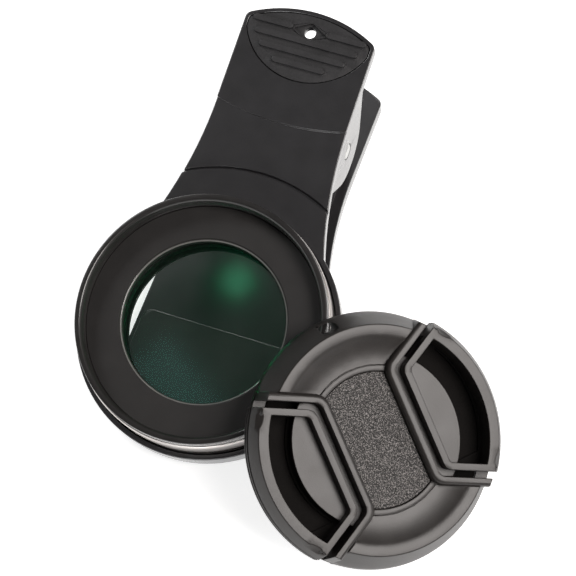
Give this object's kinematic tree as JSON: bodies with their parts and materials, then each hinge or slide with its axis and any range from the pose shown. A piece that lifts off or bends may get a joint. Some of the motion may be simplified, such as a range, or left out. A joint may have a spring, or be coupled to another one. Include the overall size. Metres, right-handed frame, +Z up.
{
  "type": "clip-on phone lens with pinch cap",
  "caption": "Spring clip with a screw-in round camera lens for a phone, grip pads on its handles, and a pinch cap taken off and leaning on the lens.",
  "frame": {"origin": "on the rear arm's flat outer face, which rests on the table, below the centre of the clip's ring", "axes": "+X across the clip, +Y along the arms from the jaw to the handles, +Z up from the face it rests on"},
  "size_m": [0.0698, 0.0839, 0.0233],
  "materials": {
    "clip_plastic": "black moulded plastic with a satin surface",
    "grip_plastic": "mottled matt dark-grey grip",
    "soft_rubber": "soft black rubber",
    "pin_steel": "steel pin",
    "spring_steel": "spring wire",
    "black_metal": "black anodised metal",
    "barrel_metal": "bright turned metal band",
    "coated_glass": "glass with a green anti-reflection coating",
    "cap_plastic": "fine-grained black plastic",
    "disc_plastic": "coarse sparkling grain"
  },
  "bodies": {
    "rear": {"rear_arm": "clip_plastic", "rear_jaw_pad": "soft_rubber", "rear_grip_pad": "grip_plastic", "hinge_pin": "pin_steel", "torsion_spring": "spring_steel"},
    "front": {"front_arm": "clip_plastic", "front_grip_pad": "grip_plastic", "jaw_gasket": "soft_rubber", "lens_base": "black_metal", "lens_barrel": "barrel_metal", "front_ring": "black_metal", "retaining_ring": "black_metal", "front_element": "coated_glass", "spacer_ring": "black_metal", "rear_element": "coated_glass", "cap_body": "cap_plastic", "cap_centre_disc": "disc_plastic", "cap_back_plate": "cap_plastic", "cap_spring_upper": "spring_steel", "cap_spring_lower": "spring_steel"},
    "lever_left": {"cap_lever_left": "cap_plastic"},
    "lever_right": {"cap_lever_right": "cap_plastic"}
  },
  "joints": [
    {"name": "jaw", "type": "hinge", "parent": "rear", "child": "front", "pos_m": [0, 0.03509, 0.0128], "axis": [-1, 0, 0], "range_deg": [0, 25], "stiffness_Nm_per_rad": 0.3, "springref_deg": -45.84, "deforming": ["torsion_spring"]},
    {"name": "pinch_left", "type": "slide", "parent": "front", "child": "lever_left", "axis": [0.6516, 0.7475, -0.129], "range_m": [0, 0.0011], "stiffness_N_per_m": 800, "springref_m": -0.003, "deforming": ["cap_spring_upper"]},
    {"name": "pinch_right", "type": "slide", "parent": "front", "child": "lever_right", "axis": [-0.6516, -0.7475, 0.129], "range_m": [0, 0.0011], "stiffness_N_per_m": 800, "springref_m": -0.003, "deforming": ["cap_spring_lower"]}
  ]
}
